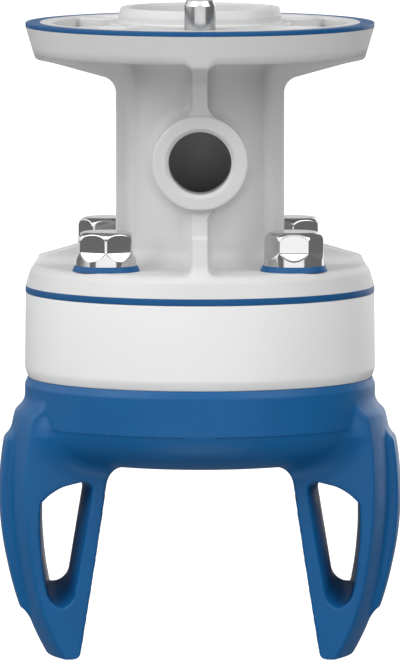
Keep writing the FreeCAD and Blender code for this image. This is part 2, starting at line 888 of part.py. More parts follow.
def finger_section():
    """Radius and height line of a finger: bowl side above, curved back outside."""
    gap = size("flex_gap")
    rim, side, shoulder, floor = bowl_line(-gap)[:4]
    return [
        (size("finger_inner_reach"), below("bowl_bottom") - gap),
        floor,
        shoulder,
        side,
        (rim[0], below("finger_top") - gap),
        (size("finger_root_radius"), below("finger_top")),
        (size("finger_waist_radius"), below("finger_waist"), -size("finger_back_curve")),
        (size("finger_foot_radius"), below("finger_foot"), -size("finger_foot_curve")),
        (size("finger_end_radius"), below("finger_end")),
        (size("finger_inner_reach"), below("finger_end")),
    ]


def spine_section():
    """The raised band down the middle of a finger's back."""
    return [
        (size("finger_root_radius") - 1.2, below("spine_top")),
        (size("spine_top_radius"), below("spine_top")),
        (size("spine_crest_radius"), below("spine_crest")),
        (size("spine_knee_radius"), below("spine_knee"), -size("spine_curve")),
        (size("spine_heel_radius"), below("spine_heel"), -size("spine_heel_curve")),
        (size("spine_end_radius"), below("spine_end")),
        (size("spine_end_radius") - 1.2, below("spine_end")),
    ]


def grip_line_reach(depth):
    """How far out the gripping edge is at a depth below the mating face."""
    slope = math.tan(math.radians(DIMENSIONS["grip_angle"]))
    return size("grip_start_reach") + (depth - size("grip_start")) * slope


def side_outline():
    """Front view of a finger: only the gripping edge is cut by it."""
    outer = size("spine_crest_radius") + 5.0
    top = below("finger_top") + 4.0
    bottom = below("finger_end")
    high = size("finger_top") - 4.0
    return [
        (grip_line_reach(size("finger_end") - 2.0), bottom + 2.0),
        (grip_line_reach(size("finger_end") - 2.0) + 1.5, bottom, size("grip_wall")),
        (outer, bottom),
        (outer, top),
        (grip_line_reach(high), top),
    ]


def width_outline():
    """End view of a finger, as seen along X: the flanks draw in towards the tip."""
    wide = size("finger_half_width")
    narrow = size("finger_tip_half_width")
    taper = below("finger_taper_start")
    top = below("finger_top") + 4.0
    bottom = below("finger_end") - 1.0
    return [(-narrow, bottom), (narrow, bottom), (wide, taper), (wide, top), (-wide, top), (-wide, taper)]


def window_outline(rise, shift):
    """Front view of the opening through a finger, its foot raised towards the middle."""
    foot_turn = size("window_foot_curve")
    round_corner = size("window_roof_round")
    wall_curve = size("window_wall_curve")
    return [
        (size("window_wall_reach"), below("window_wall_top"), wall_curve),
        (size("window_roof_reach"), below("window_roof"), round_corner * 1.6),
        (size("window_corner_reach") + shift, below("window_corner")),
        (size("window_leg_reach") + shift, below("window_leg_top"), round_corner),
        (size("window_leg_foot_reach") + shift, below("window_leg_foot") + rise),
        (size("window_wall_foot_reach"), below("window_wall_foot") + rise, foot_turn),
    ]


def coaxial_rod(document, name, radius):
    """A long cylinder whose side is the concave gripping face, or the wall behind it."""
    tilt = math.radians(DIMENSIONS["grip_angle"])
    half_width = DIMENSIONS["finger_half_width"]
    back_off = math.sqrt(DIMENSIONS["grip_curve"] ** 2 - half_width ** 2)
    down = Vector(math.sin(tilt), 0, -math.cos(tilt))
    inward = Vector(-math.cos(tilt), 0, -math.sin(tilt))
    edge = Vector(DIMENSIONS["grip_start_reach"], 0, -DIMENSIONS["grip_start"])
    start = edge + inward * back_off - down * half_width
    rod = document.addObject("Part::Cylinder", name)
    length = size("finger_end") - size("grip_start") + size("finger_half_width") * 2.0
    bind(rod, Radius=radius, Height=length)
    rod.Placement = Placement(start, Rotation(Vector(0, 0, 1), down))
    return rod


def make_fingers(document):
    """The right finger is modelled and the left one mirrors it."""
    back = turn_sketch(document, "finger_back", outline(loose_sketch(document, "finger_section"),
                                                        finger_section()))
    front_view = extrude(document, "finger_front_view",
                         outline(loose_sketch(document, "finger_side_outline"), side_outline()),
                         size("finger_half_width") + 1.0)
    end_sketch = document.addObject("Sketcher::SketchObject", "finger_width_outline")
    end_sketch.Placement = Placement(Vector(0, 0, 0), Rotation(Vector(0, 0, 1), 90)
                                     * Rotation(Vector(1, 0, 0), 90))
    outline(end_sketch, width_outline())
    end_view = document.addObject("Part::Extrusion", "finger_end_view")
    end_view.Base = end_sketch
    end_view.DirMode = "Custom"
    end_view.Dir = Vector(1, 0, 0)
    end_view.Solid = True
    bind(end_view, LengthFwd=size("spine_crest_radius") + 5.0)
    side = join(document, "Part::Common", "finger_side", back, front_view)
    blank = join(document, "Part::Common", "finger_blank", side, end_view)

    spine_ring = turn_sketch(document, "spine_ring", outline(loose_sketch(document, "spine_section"),
                                                             spine_section()))
    spine_bar = block(document, "spine_bar", size("spine_crest_radius") + 5.0, size("spine_half_width"),
                      below("spine_end") - 1.0, below("spine_top") + 1.0)
    spine = join(document, "Part::Common", "spine", spine_ring, spine_bar)
    ribbed = join(document, "Part::Fuse", "ribbed_finger", blank, spine)

    reach = size("finger_half_width") + 1.0
    sections = [
        outline(loose_sketch(document, "window_front", -reach), window_outline(0.0, 0.0)),
        outline(loose_sketch(document, "window_middle"),
                window_outline(size("window_crest_rise"), size("window_crest_shift"))),
        outline(loose_sketch(document, "window_rear", reach), window_outline(0.0, 0.0)),
    ]
    window = document.addObject("Part::Loft", "window_space")
    window.Sections = sections
    window.Solid = True
    window.Ruled = True
    leg = coaxial_rod(document, "leg_back_rod", size("grip_curve") + size("grip_wall"))
    window_cut = join(document, "Part::Cut", "window_behind_leg", window, leg)
    grip = coaxial_rod(document, "grip_face_rod", size("grip_curve"))
    solid_finger = join(document, "Part::Cut", "finger_with_grip_face", ribbed, grip)
    right = join(document, "Part::Cut", "finger_right_piece", solid_finger, window_cut)
    right.Label = "finger_right"
    left = document.addObject("Part::Mirroring", "finger_left_piece")
    left.Source = right
    left.Normal = Vector(1, 0, 0)
    left.Base = Vector(0, 0, 0)
    left.Label = "finger_left"
    return [left, right]


# ---------------------------------------------------------------- document

def make_all(document):
    pieces = [make_adapter(document), make_flange_seal(document), make_locating_pin(document),
              make_housing_seal(document), make_clamp_ring(document)]
    for name, side, front, turn in bolt_places():
        pieces.append(make_hex_bolt(document, name, side, front, turn))
        pieces.append(make_bolt_seal(document, name, side, front))
        pieces.append(make_threaded_insert(document, name, side, front))
    pieces += [make_stop_plate(document), make_retaining_clip(document), make_support_band(document),
               make_pull_plate(document), make_silicone_collar(document), make_bowl_membrane(document)]
    pieces += make_fingers(document)
    return pieces


def check(document, pieces):
    """Stop before anything is written if an object failed or a piece has no sound shape."""
    for thing in document.Objects:
        if "Invalid" in thing.State or "Error" in thing.State:
            raise RuntimeError("%s failed: %s" % (thing.Label, thing.State))
    for piece in pieces:
        if piece.Shape.isNull() or not piece.Shape.isValid():
            raise RuntimeError(piece.Label + " has no valid shape")
        print("%-32s %9.1f mm3" % (piece.Label, piece.Shape.Volume))


def main():
    document = FreeCAD.newDocument("PneumaticGripper")
    make_sheet(document)
    pieces = make_all(document)
    document.recompute()
    check(document, pieces)
    os.makedirs("parts", exist_ok=True)
    for piece in pieces:
        piece.Shape.exportStep(os.path.join("parts", piece.Label + ".step"))


main()
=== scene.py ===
"""Looks of the pneumatic two-finger soft gripper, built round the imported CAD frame.

Shapes are in millimetres in the CAD's own frame (+Z up, -Y towards the air port). The adapter, the
silicone and the bolts are distance fields, turned into meshes with their sharp edges kept. The
rings, seals and pin are outlines turned about an axis. Blender objects are in metres.
"""

import json
import math

import bmesh
import bpy
import numpy as np
from mathutils import Matrix, Vector


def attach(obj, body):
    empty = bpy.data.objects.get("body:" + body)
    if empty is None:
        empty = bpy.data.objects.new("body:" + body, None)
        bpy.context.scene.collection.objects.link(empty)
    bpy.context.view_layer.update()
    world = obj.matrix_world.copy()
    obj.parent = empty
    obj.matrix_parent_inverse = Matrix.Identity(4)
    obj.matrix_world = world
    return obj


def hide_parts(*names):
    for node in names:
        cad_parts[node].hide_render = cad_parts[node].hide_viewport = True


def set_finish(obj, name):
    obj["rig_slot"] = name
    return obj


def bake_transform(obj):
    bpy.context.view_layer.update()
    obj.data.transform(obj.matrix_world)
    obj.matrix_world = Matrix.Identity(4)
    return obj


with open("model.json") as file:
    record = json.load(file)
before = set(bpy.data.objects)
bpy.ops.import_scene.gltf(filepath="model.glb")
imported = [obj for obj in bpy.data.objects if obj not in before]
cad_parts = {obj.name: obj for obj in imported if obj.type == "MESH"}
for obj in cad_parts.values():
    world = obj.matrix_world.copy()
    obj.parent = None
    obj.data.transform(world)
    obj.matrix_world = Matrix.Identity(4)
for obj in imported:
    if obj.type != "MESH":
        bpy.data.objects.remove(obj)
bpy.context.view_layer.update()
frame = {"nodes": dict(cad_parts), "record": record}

MM = 0.001
BODY_STEP = 0.45
BOLT_STEP = 0.15

# A normal is measured this far to each side of a point, in millimetres.
NORMAL_REACH = 0.01
# A grid edge is split this many times to find the surface, at least this share from its ends.
CROSSING_TURNS = 6
CROSSING_MARGIN = 0.02
# A field is worked out this many grid layers at a time, to save memory.
SLAB_LAYERS = 8
# A vertex isn't moved along directions weaker than this share of the strongest.
WEAK_DIRECTION = 0.08
# A face's own normal is taken this share of the way from corner to centre, and used at a corner
# when it differs from the corner's normal by more degrees than this.
FACE_SHARE = 0.35
EDGE_ANGLE = 14
# On a turned piece, an edge of more degrees than this is sharp.
TURNED_EDGE_ANGLE = 40
# Vertices nearer than this are one vertex, in metres.
SAME_PLACE = 1e-7


# ------------------------------------------------------------------ field helpers

def at_most(*parts):
    """Intersection: inside only where every part is inside."""
    result = parts[0]
    for part in parts[1:]:
        result = np.maximum(result, part)
    return result


def any_of(*parts):
    """Union: inside where any part is inside."""
    result = parts[0]
    for part in parts[1:]:
        result = np.minimum(result, part)
    return result


def fillet_union(first, second, radius):
    """Union whose inner corner is filled by a round of that radius."""
    near_first = np.maximum(radius - first, 0)
    near_second = np.maximum(radius - second, 0)
    return np.maximum(radius, np.minimum(first, second)) - np.hypot(near_first, near_second)


def rounded(first, second, radius):
    """Intersection whose outer corner is rounded to that radius."""
    past_first = np.maximum(radius + first, 0)
    past_second = np.maximum(radius + second, 0)
    return np.minimum(-radius, np.maximum(first, second)) + np.hypot(past_first, past_second)


def carved(body, tool, radius):
    """The body without the tool, the edge between them rounded."""
    return rounded(body, -tool, radius)


def line_side(across, up, start, end):
    """Distance from the line start -> end, positive on its right-hand side."""
    run = end[0] - start[0]
    rise = end[1] - start[1]
    length = math.hypot(run, rise)
    return ((across - start[0]) * rise - (up - start[1]) * run) / length


def circle_through(start, middle, end):
    """Centre and radius of the circle through three points."""
    chords = np.array([[middle[0] - start[0], middle[1] - start[1]],
                       [end[0] - start[0], end[1] - start[1]]]) * 2
    square = [point[0] ** 2 + point[1] ** 2 for point in (start, middle, end)]
    centre = np.linalg.solve(chords, [square[1] - square[0], square[2] - square[0]])
    return centre[0], centre[1], math.hypot(start[0] - centre[0], start[1] - centre[1])


def inside_arc(across, up, start, middle, end):
    """Distance to the disc whose edge passes through three points."""
    centre_across, centre_up, radius = circle_through(start, middle, end)
    return np.hypot(across - centre_across, up - centre_up) - radius


# ------------------------------------------------------------------ field to mesh

def sample(field, points):
    """The field's values at a list of points."""
    return field(points[:, 0], points[:, 1], points[:, 2])


def gradient(field, points):
    """Unit normals of a field at points."""
    result = np.empty_like(points)
    for axis in range(3):
        shift = np.zeros(3)
        shift[axis] = NORMAL_REACH
        result[:, axis] = sample(field, points + shift) - sample(field, points - shift)
    return result / np.maximum(np.linalg.norm(result, axis=1, keepdims=True), 1e-12)


def crossings(field, low_points, axis, step, low_values, high_values):
    """Where the surface cuts grid edges, by false position with the bracket kept."""
    near = np.zeros(len(low_points))
    far = np.ones(len(low_points))
    near_value = low_values.copy()
    far_value = high_values.copy()
    for turn in range(CROSSING_TURNS):
        split = near_value / (near_value - far_value)
        if turn % 2:
            split = np.clip(split, CROSSING_MARGIN, 1 - CROSSING_MARGIN)
        else:
            split = 0.25 + split * 0.5
        middle = near + (far - near) * split
        points = low_points.copy()
        points[:, axis] += middle * step
        value = sample(field, points)
        same = (value < 0) == (near_value < 0)
        near = np.where(same, middle, near)
        near_value = np.where(same, value, near_value)
        far = np.where(same, far, middle)
        far_value = np.where(same, far_value, value)
    points = low_points.copy()
    points[:, axis] += (near + (far - near) * near_value / (near_value - far_value)) * step
    return points


def polygonise(field, low, high, step):
    """Dual contouring: vertices and quads of the zero surface, in millimetres."""
    low = np.array(low, float)
    counts = np.ceil((np.array(high, float) - low) / step).astype(int) + 1
    axes = [low[axis] + step * np.arange(counts[axis]) for axis in range(3)]
    values = np.empty(counts)
    across = axes[1][None, :, None]
    up = axes[2][None, None, :]
    for first in range(0, counts[0], SLAB_LAYERS):
        layers = slice(first, first + SLAB_LAYERS)
        values[layers] = field(axes[0][layers, None, None], across, up)
    inside = values < 0
    cell_counts = counts - 1
    strides = np.array([cell_counts[1] * cell_counts[2], cell_counts[2], 1])
    quads = []
    all_cells = []
    all_points = []
    all_normals = []
    for axis in range(3):
        size = counts[axis]
        lower = np.take(inside, range(size - 1), axis)
        upper = np.take(inside, range(1, size), axis)
        found = np.argwhere(lower != upper)
        second = (axis + 1) % 3
        third = (axis + 2) % 3
        keep = (found[:, second] > 0) & (found[:, second] < counts[second] - 1)
        keep &= (found[:, third] > 0) & (found[:, third] < counts[third] - 1)
        found = found[keep]
        ends = found.copy()
        ends[:, axis] += 1
        low_values = values[tuple(found.T)]
        high_values = values[tuple(ends.T)]
        points = crossings(field, low + found * step, axis, step, low_values, high_values)
        normals = gradient(field, points)
        base = found @ strides
        ring = [base - strides[second] - strides[third], base - strides[third],
                base, base - strides[second]]
        ring = np.stack(ring, 1)
        outwards = low_values < 0
        quads.append(np.where(outwards[:, None], ring, ring[:, ::-1]))
        all_cells.append(ring.ravel())
        all_points.append(np.repeat(points, 4, axis=0))
        all_normals.append(np.repeat(normals, 4, axis=0))
    quads = np.concatenate(quads)
    cells, where = np.unique(np.concatenate(all_cells), return_inverse=True)
    points = np.concatenate(all_points)
    normals = np.concatenate(all_normals)
    vertices = fit_vertices(points, normals, where, cells, strides, low, step)
    return vertices, np.searchsorted(cells, quads)


def fit_vertices(points, normals, where, cells, strides, low, step):
    """One vertex per cell, where the cell's tangent planes meet."""
    count = len(cells)

    def total(weights):
        """Each cell's sum of its crossings' weights."""
        return np.bincount(where, weights, count)

    number = np.maximum(total(np.ones(len(where))), 1)
    centre = np.stack([total(points[:, axis]) / number for axis in range(3)], 1)
    offset = np.einsum("ij,ij->i", normals, points - centre[where])
    matrix = np.empty((count, 3, 3))
    right = np.empty((count, 3))
    for row in range(3):
        right[:, row] = total(normals[:, row] * offset)
        for column in range(row, 3):
            matrix[:, row, column] = total(normals[:, row] * normals[:, column])
            matrix[:, column, row] = matrix[:, row, column]
    strength, directions = np.linalg.eigh(matrix)
    usable = strength > WEAK_DIRECTION * strength[:, 2:3]
    inverse = np.where(usable, 1 / np.where(usable, strength, 1), 0)
    along = np.einsum("nij,ni->nj", directions, right) * inverse
    moved = centre + np.einsum("nij,nj->ni", directions, along)
    index = np.stack([cells // strides[0], cells % strides[0] // strides[1], cells % strides[1]], 1)
    cell_low = low + index * step
    return np.clip(moved, cell_low, cell_low + step)


def shade(mesh, field):
    """Give each face corner the field's own normal, so edges stay crisp and rounds smooth."""
    owners = np.empty(len(mesh.loops), np.int32)
    mesh.loops.foreach_get("vertex_index", owners)
    places = np.empty(len(mesh.vertices) * 3)
    mesh.vertices.foreach_get("co", places)
    places = places.reshape(-1, 3) / MM
    totals = np.empty(len(mesh.polygons), np.int32)
    mesh.polygons.foreach_get("loop_total", totals)
    centres = np.empty(len(mesh.polygons) * 3)
    mesh.polygons.foreach_get("center", centres)
    centres = np.repeat(centres.reshape(-1, 3) / MM, totals, axis=0)
    corner = places[owners]
    smooth = gradient(field, places)[owners]
    own = gradient(field, corner + (centres - corner) * FACE_SHARE)
    same = np.einsum("ij,ij->i", smooth, own) > math.cos(math.radians(EDGE_ANGLE))
    result = np.where(same[:, None], smooth, own)
    mesh.polygons.foreach_set("use_smooth", np.ones(len(mesh.polygons), bool))
    mesh.normals_split_custom_set(result.tolist())


def new_mesh(name, vertices, faces):
    """A mesh from vertices in millimetres."""
    mesh = bpy.data.meshes.new(name)
    places = (np.asarray(vertices) * MM).tolist()
    mesh.from_pydata(places, [], [[int(number) for number in face] for face in faces])
    mesh.validate()
    return mesh


def place(name, mesh):
    """Put a mesh in the scene as an object of that name."""
    piece = bpy.data.objects.new(name, mesh)
    bpy.context.scene.collection.objects.link(piece)
    return piece


def cut_mesh(mesh, planes, mirror=False, close=True):
    """Keep what lies on the inner side of each (point, outward normal) plane, in millimetres.

    The cuts are closed unless close is False. With mirror, the mirror image in x is added and the
    two are sewn together.
    """
    work = bmesh.new()
    work.from_mesh(mesh)
    for point, normal in planes:
        geometry = work.verts[:] + work.edges[:] + work.faces[:]
        cut = bmesh.ops.bisect_plane(work, geom=geometry, plane_co=Vector(point) * MM, dist=SAME_PLACE,
                                     plane_no=Vector(normal), clear_outer=True, clear_inner=False)
        edges = [part for part in cut["geom_cut"] if isinstance(part, bmesh.types.BMEdge)]
        if close:
            bmesh.ops.triangle_fill(work, edges=edges, use_beauty=True, normal=Vector(normal))
    if mirror:
        geometry = work.verts[:] + work.edges[:] + work.faces[:]
        copied = bmesh.ops.duplicate(work, geom=geometry)["geom"]
        copied_faces = [part for part in copied if isinstance(part, bmesh.types.BMFace)]
        for part in copied:
            if isinstance(part, bmesh.types.BMVert):
                part.co.x = -part.co.x
        bmesh.ops.reverse_faces(work, faces=copied_faces)
        bmesh.ops.remove_doubles(work, verts=work.verts[:], dist=SAME_PLACE)
    result = bpy.data.meshes.new(mesh.name + "_cut")
    work.to_mesh(result)
    work.free()
    return result


def mirrored_mesh(mesh):
    """The mesh's mirror image in x."""
    work = bmesh.new()
    work.from_mesh(mesh)
    for vertex in work.verts:
        vertex.co.x = -vertex.co.x
    bmesh.ops.reverse_faces(work, faces=work.faces[:])
    result = bpy.data.meshes.new(mesh.name + "_mirrored")
    work.to_mesh(result)
    work.free()
    return result


def joined_mesh(name, meshes):
    """Several meshes as one, nothing sewn."""
    work = bmesh.new()
    for mesh in meshes:
        work.from_mesh(mesh)
    result = bpy.data.meshes.new(name)
    work.to_mesh(result)
    work.free()
    return result


def rounded_loop(corners, steps=4):
    """Closed outline of (radius, height, corner round) with every corner rounded by an arc."""
    loop = []
    count = len(corners)
    for number, (across, up, round_radius) in enumerate(corners):
        here = Vector((across, up))
        before = Vector(corners[number - 1][:2]) - here
        after = Vector(corners[(number + 1) % count][:2]) - here
        if round_radius <= 0:
            loop.append((across, up))
            continue
        turn = before.angle(after)
        reach = round_radius / math.tan(turn / 2)
        bisector = (before.normalized() + after.normalized()).normalized()
        centre = here + bisector * (round_radius / math.sin(turn / 2))
        start = here + before.normalized() * reach - centre
        end = here + after.normalized() * reach - centre
        sweep = start.angle_signed(end)
        for part in range(steps + 1):
            spoke = start.copy()
            spoke.rotate(Matrix.Rotation(-sweep * part / steps, 2))
            loop.append(tuple(centre + spoke))
    return loop


def turned(name, corners, segments=192, centre=(0.0, 0.0), steps=4):
    """A ring or shaft of revolution about the vertical through centre."""
    loop = rounded_loop(corners, steps)
    count = len(loop)
    vertices = []
    faces = []
    for segment in range(segments):
        angle = 2 * math.pi * segment / segments
        here = segment * count
        beyond = (segment + 1) % segments * count
        for number, (across, up) in enumerate(loop):
            x = centre[0] + across * math.cos(angle)
            y = centre[1] + across * math.sin(angle)
            vertices.append((x, y, up))
            following = (number + 1) % count
            faces.append((here + number, here + following, beyond + following, beyond + number))
    mesh = new_mesh(name, vertices, faces)
    work = bmesh.new()
    work.from_mesh(mesh)
    bmesh.ops.remove_doubles(work, verts=work.verts[:], dist=SAME_PLACE)
    bmesh.ops.recalc_face_normals(work, faces=work.faces[:])
    work.to_mesh(mesh)
    work.free()
    mesh.polygons.foreach_set("use_smooth", np.ones(len(mesh.polygons), bool))
    mesh.set_sharp_from_angle(angle=math.radians(TURNED_EDGE_ANGLE))
    return place(name, mesh)


# ------------------------------------------------------------------ adapter housing

# Heights and radii are in millimetres; a face's height is its z in the CAD's frame.
PITCH_RADIUS = 25.0
SCREW_OFFSET = PITCH_RADIUS * math.sqrt(0.5)
SCREW_HOLE_RADIUS = 3.3
SCREW_HOLE_FOOT = -8.0
SCREW_CHAMFER_FOOT = -1.2
BOLT_OFFSET = 18.0
BOLT_HOLE_RADIUS = 3.5
BOLT_HOLE_TOP = -40.0
FLANGE_UNDERSIDE = -6.35
SEAL_STEP_RADIUS = 30.9
SEAL_STEP_FLOOR = -0.85
SPIGOT_RADIUS = 15.75
SPIGOT_TOP = 2.9
SPIGOT_FOOT = -3.0
RECESS_RADIUS = 13.8
RECESS_FLOOR = -4.0
POCKET_INNER = 17.6
POCKET_OUTER = 28.6
POCKET_FLOOR = -4.5
MIDDLE_LAND_HALF = 11.6
SCREW_LAND_RADIUS = 6.2
PIN_HOLE_RADIUS = 2.5
PIN_FOOT = -4.0
COLUMN_RADIUS = 12.7
RIB_HALF = 1.525
RIB_REACH = 16.25
RIB_TOP = -3.0
UPPER_GUSSET_REACH = 32.1
LOWER_GUSSET_REACH = 31.4
PORT_Z = -26.2
PORT_FACE = 17.3
PORT_BOSS_RADIUS = 9.15
PORT_BORE_RADIUS = 6.05
PORT_CHAMFER = 0.7
BOSS_FILLET_RADIUS = 13.0
BOSS_FILLET_FACE = 16.33
FAR_INSIDE = -50.0
MID_COLUMN = -25.0
DISC_FLOOR = -46.7
DISC_BOTTOM = -50.85
COLUMN_AIR_RADIUS = 9.75
COLUMN_AIR_TOP = -9.0
DISC_AIR_RADIUS = 15.0
DISC_AIR_TOP = -48.45
# The lowest and highest corner of the space in which a field becomes a mesh. Every _BOX is one.
ADAPTER_BOX = ((-35, -35, -52), (35, 35, 4))


def rib_field(along, across, z):
    """A column rib with its upper and lower gussets."""
    column = along - RIB_REACH
    upper_slope = -line_side(along, z, (31.2, -7.1), (17.9, -10.75))
    upper = rounded(upper_slope, along - UPPER_GUSSET_REACH, 1.0)
    lower_slope = -line_side(along, z, (16.3, -40.8), (31.0, -45.0))
    lower = at_most(lower_slope, along - LOWER_GUSSET_REACH)
    outline = any_of(fillet_union(column, upper, 2.2), fillet_union(column, lower, 0.8))
    outline = at_most(outline, z - RIB_TOP, DISC_FLOOR - 1.0 - z)
    return rounded(outline, abs(across) - RIB_HALF, 0.35)


def adapter_outside(x, y, z, r):
    """Flange, ribbed column, disc and port boss, without any hole."""
    flange_chamfer = line_side(r, z, (31.3, -6.6), (32.3, -5.4))
    flange = rounded(FLANGE_UNDERSIDE - z, flange_chamfer, 0.25)
    body = fillet_union(flange, r - COLUMN_RADIUS, 4.2)
    body = fillet_union(body, z - DISC_FLOOR, 4.0)
    ribs = any_of(rib_field(abs(x), y, z), rib_field(abs(y), x, z))
    body = fillet_union(body, ribs, 1.9)
    flange_side = line_side(r, z, (32.2, -5.85), (33.55, -1.3))
    disc_side = line_side(r, z, (33.65, -50.8), (32.3, -46.2))
    upper = z > MID_COLUMN
    body = rounded(body, np.where(upper, flange_side, disc_side), np.where(upper, 0.3, 1.5))
    port_radius = np.hypot(x, z - PORT_Z)
    boss = at_most(rounded(port_radius - PORT_BOSS_RADIUS, -y - PORT_FACE, 0.3), y)
    fillet_end = np.where(port_radius < BOSS_FILLET_RADIUS, -y - BOSS_FILLET_FACE, FAR_INSIDE)
    body = any_of(at_most(fillet_union(body, boss, 2.2), fillet_end), body, boss)
    return at_most(body, z, DISC_BOTTOM - z)


def face_pocket(x, r, z, screw):
    """The sunk parts of the flange's face, with a land left in the middle and round each screw."""
    pocket = rounded(rounded(POCKET_INNER - r, r - POCKET_OUTER, 0.5), POCKET_FLOOR - z, 0.6)
    pocket = rounded(pocket, SCREW_LAND_RADIUS - screw, 0.3)
    return rounded(pocket, MIDDLE_LAND_HALF - abs(x), 0.3)


def air_space(x, y, z, r):
    """The air passage down the column and the port's bore with its chamfered mouth."""
    column_air = at_most(r - COLUMN_AIR_RADIUS, z - COLUMN_AIR_TOP)
    disc_air = at_most(r - DISC_AIR_RADIUS, z - DISC_AIR_TOP)
    port_radius = np.hypot(x, z - PORT_Z)
    widening = np.clip(-y - PORT_FACE + PORT_CHAMFER, 0, 1.0)
    bore = at_most(port_radius - PORT_BORE_RADIUS - widening, y)
    return any_of(column_air, disc_air, bore)


def adapter_field(x, y, z):
    """The adapter moulding."""
    r = np.hypot(x, y)
    body = adapter_outside(x, y, z, r)

    screw = np.hypot(abs(x) - SCREW_OFFSET, abs(y) - SCREW_OFFSET)
    body = carved(body, face_pocket(x, r, z, screw), 0.45)
    widening = np.maximum(z - SCREW_CHAMFER_FOOT, 0)
    screw_hole = at_most(screw - SCREW_HOLE_RADIUS - widening, SCREW_HOLE_FOOT - z)
    body = carved(body, screw_hole, 0.1)

    taper = line_side(r, z, (SPIGOT_RADIUS, 1.3), (15.3, SPIGOT_TOP))
    spigot = rounded(at_most(r - SPIGOT_RADIUS, taper), z - SPIGOT_TOP, 0.25)
    spigot = at_most(spigot, SPIGOT_FOOT - z)
    body = fillet_union(body, spigot, 0.35)
    body = carved(body, at_most(r - RECESS_RADIUS, RECESS_FLOOR - z), 0.25)
    body = at_most(body, -at_most(SEAL_STEP_RADIUS - r, SEAL_STEP_FLOOR - z))
    pin_hole = at_most(np.hypot(x, y + PITCH_RADIUS) - PIN_HOLE_RADIUS, PIN_FOOT - z)
    body = at_most(body, -pin_hole)

    body = carved(body, air_space(x, y, z, r), 0.08)
    bolt = np.hypot(abs(x) - BOLT_OFFSET, abs(y) - BOLT_OFFSET)
    return at_most(body, -at_most(bolt - BOLT_HOLE_RADIUS, z - BOLT_HOLE_TOP))


def make_adapter():
    """The adapter moulding's mesh, which replaces the CAD housing."""
    mesh = new_mesh("adapter", *polygonise(adapter_field, *ADAPTER_BOX, BODY_STEP))
    shade(mesh, adapter_field)
    piece = place("adapter_moulding", mesh)
    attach(piece, "housing")
    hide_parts("adapter_housing")
    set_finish(piece, "housing_plastic")
    return piece


# ------------------------------------------------------------------ silicone module

SEAM = -68.6
FLEX_TOP = -77.3
COLLAR_RADIUS = 33.87
NECK_RADIUS = 27.3
NECK_TOP = -61.05
NECK_FOOT = -70.0
BEAD_RADIUS = 30.3
BEAD_FOOT = -64.55
SKIN = 2.0
CHAMBER_RADIUS = 29.5
CHAMBER_TOP = -71.0
MOUTH_RADIUS = 21.0
MOUTH_FOOT = -72.0
BOWL_TOP = -75.6
BOWL_FLAT = 20.0
BOWL_ROUND_WIDE = 13.6
BOWL_ROUND_TALL = 9.05
BOWL_POWER = 2.5
CUT_REACH = 15.4
TONGUE_REACH = 1.2
TONGUE_INSET = 0.08
TONGUE_BOTTOM = -86.6
FINGER_HALF = 16.3
FINGER_END = -122.25
FINGER_INNER_REACH = 8.0
TAPER_TOP = -94.0
TAPER_LENGTH = 28.0
TAPER_DEPTH = 2.1
TAPER_POWER = 1.4
GRIP_TILT = math.radians(7.7)
GRIP_EDGE = 17.88
GRIP_CURVE = 59.0
GRIP_WALL = 2.1
HOLLOW_LEVEL = -88.0
BACK_UPPER = ((36.4, -77.8), (37.2, -88.3), (35.75, -104.8))
BACK_LOWER = ((35.75, -104.8), (34.05, -112.4), (30.25, -121.3))
SPINE_UPPER = ((37.95, -80.2), (38.9, -90.8), (37.37, -104.4))
SPINE_LOWER = ((37.37, -104.4), (36.46, -108.3), (35.0, -113.1))
SPINE_HALF = 7.5
WINDOW_TILT = math.radians(9.4)
WINDOW_EDGE = 18.05
WINDOW_WALL = ((30.65, -92.0), (30.75, -98.5), (29.5, -109.3))
WINDOW_FLOOR = -112.7
WINDOW_FOOT = -112.3
RIDGE_HEIGHT = 4.3
RIDGE_COSINE = 0.97
ROOT_TOP = -75.0
ROOT_FADE = 4.0
ROOT_FILLET = 0.9
ROOT_FILLET_GAIN = 2.8
SILICONE_BOX = ((-1.1, -35.2, -123.1), (40.1, 35.2, -60.1))
TONGUE_BOX = ((13.5, -35.2, -88.1), (17.5, 35.2, -76.1))


def cap_field(r, z):
    """Outer shape of the collar and the bowl under it."""
    seam_taper = line_side(r, z, (COLLAR_RADIUS, -69.9), (33.35, SEAM))
    wall = at_most(r - COLLAR_RADIUS, seam_taper, z - SEAM)
    across = np.maximum(r - BOWL_FLAT, 0) / BOWL_ROUND_WIDE
    down = np.maximum(BOWL_TOP - z, 0) / BOWL_ROUND_TALL
    level = np.maximum((across ** BOWL_POWER + down ** BOWL_POWER) ** (1 / BOWL_POWER), 1e-3)
    across_slope = across ** (BOWL_POWER - 1) / BOWL_ROUND_WIDE
    down_slope = down ** (BOWL_POWER - 1) / BOWL_ROUND_TALL
    slope = np.hypot(across_slope, down_slope) * level ** (1 - BOWL_POWER)
    bowl = (level - 1) / np.maximum(slope, 1e-2)
    bowl = np.where(z > BOWL_TOP, -5.0, bowl)
    return np.where(z < FLEX_TOP, at_most(wall, bowl), wall)


def hollow_distance(x, y, z, edge_x, tilt):
    """Distance from the axis of a leaning hollow face whose side edges are at edge_x at HOLLOW_LEVEL."""
    back_off = math.sqrt(GRIP_CURVE ** 2 - FINGER_HALF ** 2)
    axis_x = edge_x - back_off * math.cos(tilt)
    axis_z = HOLLOW_LEVEL - back_off * math.sin(tilt)
    out = (x - axis_x) * math.cos(tilt) + (z - axis_z) * math.sin(tilt)
    return np.hypot(out, y)


def half_width(z):
    """Half the finger's width, which narrows towards the tip."""
    taper = np.clip((TAPER_TOP - z) / TAPER_LENGTH, 0, 1)
    return FINGER_HALF - TAPER_DEPTH * taper ** TAPER_POWER


def two_arcs(r, z, upper, lower):
    """Outer face of two arcs, one above the other, that share the upper one's last point."""
    return np.where(z > upper[2][1], inside_arc(r, z, *upper), inside_arc(r, z, *lower))


